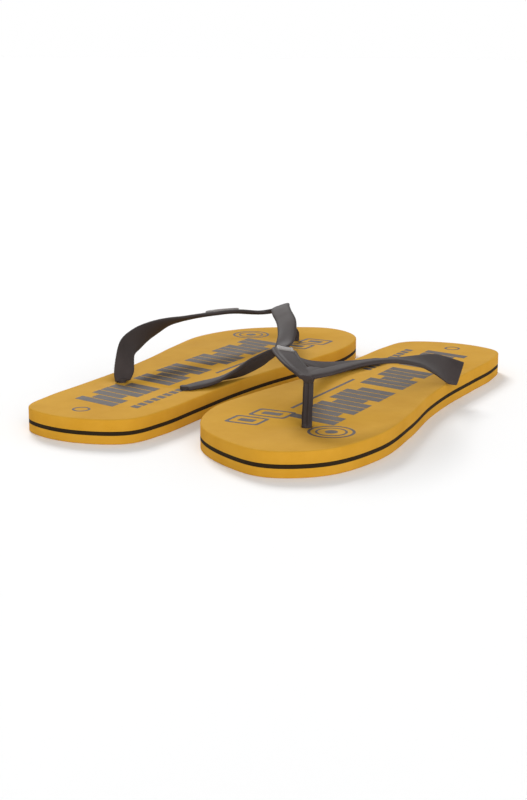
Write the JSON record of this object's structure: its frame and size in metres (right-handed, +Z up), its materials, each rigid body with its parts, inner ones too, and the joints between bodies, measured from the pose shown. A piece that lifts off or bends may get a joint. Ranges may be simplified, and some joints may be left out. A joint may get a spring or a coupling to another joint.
{
  "type": "flip flop",
  "caption": "Pair of foam flip flops with a dark stripe layer in each sole and a moulded rubber thong strap on each shoe.",
  "frame": {"origin": "on the ground under the centre of the pair's bounding box", "axes": "+X along the left shoe from heel to toe (the right shoe faces -X), +Y from the right shoe towards the left shoe, +Z up from the ground"},
  "size_m": [0.2942, 0.2066, 0.045],
  "materials": {
    "foam_yellow": "matte",
    "foam_dark": "matte",
    "strap_rubber": "satin",
    "badge_rubber": "satin"
  },
  "bodies": {
    "left_flip_flop": {"left_outsole": "foam_yellow", "left_midsole": "foam_dark", "left_footbed": "foam_yellow", "left_strap": "strap_rubber", "left_badge": "badge_rubber"},
    "right_flip_flop": {"right_outsole": "foam_yellow", "right_midsole": "foam_dark", "right_footbed": "foam_yellow", "right_strap": "strap_rubber", "right_badge": "badge_rubber"}
  },
  "joints": [
    {"name": "right_shoe_slide", "type": "slide", "parent": "left_flip_flop", "child": "right_flip_flop", "axis": [0, -1, 0], "range_m": [0, 0.15]}
  ]
}
